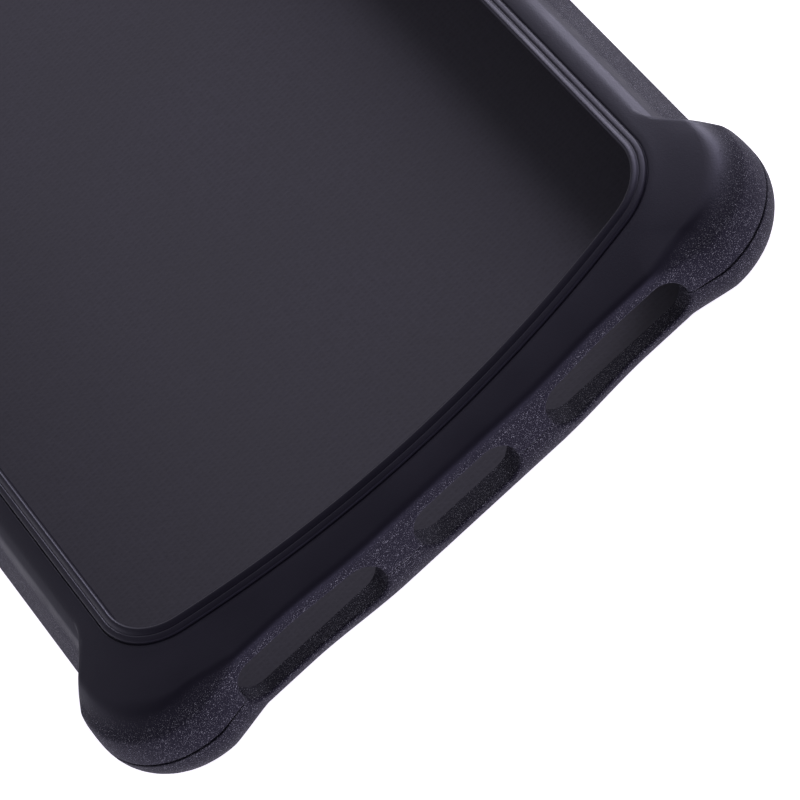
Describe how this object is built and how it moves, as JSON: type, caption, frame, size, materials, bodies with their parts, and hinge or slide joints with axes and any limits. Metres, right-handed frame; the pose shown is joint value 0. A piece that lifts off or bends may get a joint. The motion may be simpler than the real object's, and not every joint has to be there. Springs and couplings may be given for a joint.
{
  "type": "phone case",
  "caption": "Rugged bumper phone case with a raised screen lip, bulged corner pads, port openings, camera window and sprung side keys.",
  "frame": {"origin": "on the surface the case rests on, under the middle of its back", "axes": "+Z out of the screen opening, +X across the width towards the keys, +Y along the length away from the port end"},
  "size_m": [0.078, 0.1518, 0.0105],
  "materials": {
    "rear_rubber": "matte, fine grain",
    "bumper_rubber": "satin",
    "hard_plate": "satin",
    "hard_ring": "gloss",
    "lining_cloth": "brushed",
    "cushion_rubber": "matte",
    "key_rubber": "satin"
  },
  "bodies": {
    "case": {"rear_shell": "rear_rubber", "front_bumper": "bumper_rubber", "back_plate": "hard_plate", "camera_ring": "hard_ring", "inner_lining": "lining_cloth", "corner_cushion_bottom_left": "cushion_rubber", "corner_cushion_bottom_right": "cushion_rubber", "corner_cushion_top_left": "cushion_rubber", "corner_cushion_top_right": "cushion_rubber"},
    "power": {"power_key": "key_rubber"},
    "volume_up": {"volume_up_key": "key_rubber"},
    "volume_down": {"volume_down_key": "key_rubber"}
  },
  "joints": [
    {"name": "power_press", "type": "slide", "parent": "case", "child": "power", "axis": [-1, 0, 0], "range_m": [0, 0.0004], "stiffness_N_per_m": 1500},
    {"name": "volume_up_press", "type": "slide", "parent": "case", "child": "volume_up", "axis": [-1, 0, 0], "range_m": [0, 0.0004], "stiffness_N_per_m": 1500},
    {"name": "volume_down_press", "type": "slide", "parent": "case", "child": "volume_down", "axis": [-1, 0, 0], "range_m": [0, 0.0004], "stiffness_N_per_m": 1500}
  ]
}
